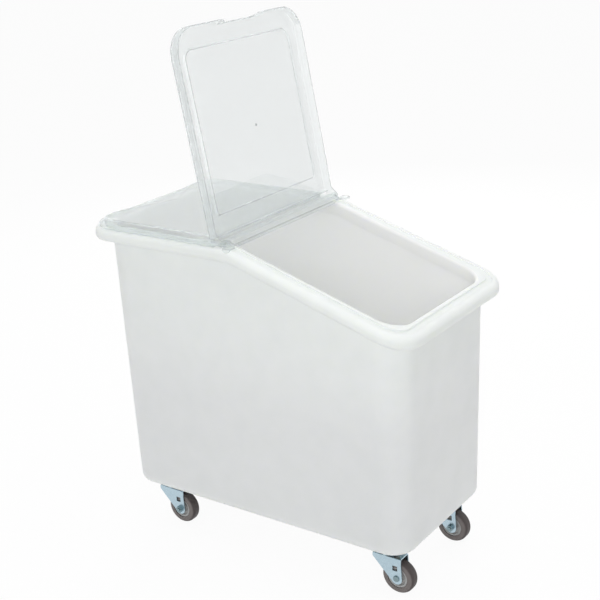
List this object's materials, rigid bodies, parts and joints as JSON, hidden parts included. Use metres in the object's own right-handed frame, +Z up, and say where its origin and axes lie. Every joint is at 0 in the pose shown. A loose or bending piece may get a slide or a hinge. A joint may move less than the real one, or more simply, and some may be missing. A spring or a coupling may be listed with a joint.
{
  "type": "mobile ingredient bin",
  "caption": "Tall narrow food storage bin with sloped front, clear hinged front lid, clear lift-off rear lid and swivel casters.",
  "frame": {"origin": "centre of the footprint on the floor, under the middle of the bin's rim", "axes": "+X to the right of a user who stands at the low front end, +Y towards the rear, +Z up"},
  "size_m": [0.4168, 0.75, 1.087],
  "materials": {
    "white_polyethylene": "satin",
    "clear_polycarbonate": "glossy",
    "zinc_plated_steel": "bright plated",
    "grey_plastic": "satin",
    "grey_rubber": "matte"
  },
  "bodies": {
    "bin": {"bin_body": "white_polyethylene", "front_left_plate": "zinc_plated_steel", "front_left_race": "zinc_plated_steel", "front_left_kingpin": "zinc_plated_steel", "front_left_screws": "zinc_plated_steel", "front_right_plate": "zinc_plated_steel", "front_right_race": "zinc_plated_steel", "front_right_kingpin": "zinc_plated_steel", "front_right_screws": "zinc_plated_steel", "rear_left_plate": "zinc_plated_steel", "rear_left_race": "zinc_plated_steel", "rear_left_kingpin": "zinc_plated_steel", "rear_left_screws": "zinc_plated_steel", "rear_right_plate": "zinc_plated_steel", "rear_right_race": "zinc_plated_steel", "rear_right_kingpin": "zinc_plated_steel", "rear_right_screws": "zinc_plated_steel"},
    "rear_lid": {"rear_lid": "clear_polycarbonate"},
    "front_lid": {"front_lid": "clear_polycarbonate"},
    "front_left_swivel": {"front_left_fork": "zinc_plated_steel", "front_left_sleeve": "zinc_plated_steel", "front_left_axle": "zinc_plated_steel", "front_left_nut": "zinc_plated_steel"},
    "front_left_wheel": {"front_left_wheel_core": "grey_plastic", "front_left_tyre": "grey_rubber"},
    "front_right_swivel": {"front_right_fork": "zinc_plated_steel", "front_right_sleeve": "zinc_plated_steel", "front_right_axle": "zinc_plated_steel", "front_right_nut": "zinc_plated_steel"},
    "front_right_wheel": {"front_right_wheel_core": "grey_plastic", "front_right_tyre": "grey_rubber"},
    "rear_left_swivel": {"rear_left_fork": "zinc_plated_steel", "rear_left_sleeve": "zinc_plated_steel", "rear_left_axle": "zinc_plated_steel", "rear_left_nut": "zinc_plated_steel"},
    "rear_left_wheel": {"rear_left_wheel_core": "grey_plastic", "rear_left_tyre": "grey_rubber"},
    "rear_right_swivel": {"rear_right_fork": "zinc_plated_steel", "rear_right_sleeve": "zinc_plated_steel", "rear_right_axle": "zinc_plated_steel", "rear_right_nut": "zinc_plated_steel"},
    "rear_right_wheel": {"rear_right_wheel_core": "grey_plastic", "rear_right_tyre": "grey_rubber"}
  },
  "joints": [
    {"name": "rear_lid_lift", "type": "slide", "parent": "bin", "child": "rear_lid", "axis": [0, 0, 1], "range_m": [0, 0.15]},
    {"name": "front_lid_hinge", "type": "hinge", "parent": "rear_lid", "child": "front_lid", "pos_m": [0, 0.02454, 0.6932], "axis": [1, 0, 0], "range_deg": [0, 118.4]},
    {"name": "front_left_swivel_turn", "type": "hinge", "parent": "bin", "child": "front_left_swivel", "pos_m": [-0.112, -0.271, 0.08], "axis": [0, 0, 1], "continuous": true},
    {"name": "front_left_wheel_spin", "type": "hinge", "parent": "front_left_swivel", "child": "front_left_wheel", "pos_m": [-0.112, -0.298, 0.035], "axis": [1, 0, 0], "continuous": true},
    {"name": "front_right_swivel_turn", "type": "hinge", "parent": "bin", "child": "front_right_swivel", "pos_m": [0.112, -0.271, 0.08], "axis": [0, 0, 1], "continuous": true},
    {"name": "front_right_wheel_spin", "type": "hinge", "parent": "front_right_swivel", "child": "front_right_wheel", "pos_m": [0.112, -0.298, 0.035], "axis": [1, 0, 0], "continuous": true},
    {"name": "rear_left_swivel_turn", "type": "hinge", "parent": "bin", "child": "rear_left_swivel", "pos_m": [-0.112, 0.278, 0.08], "axis": [0, 0, 1], "continuous": true},
    {"name": "rear_left_wheel_spin", "type": "hinge", "parent": "rear_left_swivel", "child": "rear_left_wheel", "pos_m": [-0.112, 0.251, 0.035], "axis": [1, 0, 0], "continuous": true},
    {"name": "rear_right_swivel_turn", "type": "hinge", "parent": "bin", "child": "rear_right_swivel", "pos_m": [0.112, 0.278, 0.08], "axis": [0, 0, 1], "continuous": true},
    {"name": "rear_right_wheel_spin", "type": "hinge", "parent": "rear_right_swivel", "child": "rear_right_wheel", "pos_m": [0.112, 0.251, 0.035], "axis": [1, 0, 0], "continuous": true}
  ]
}
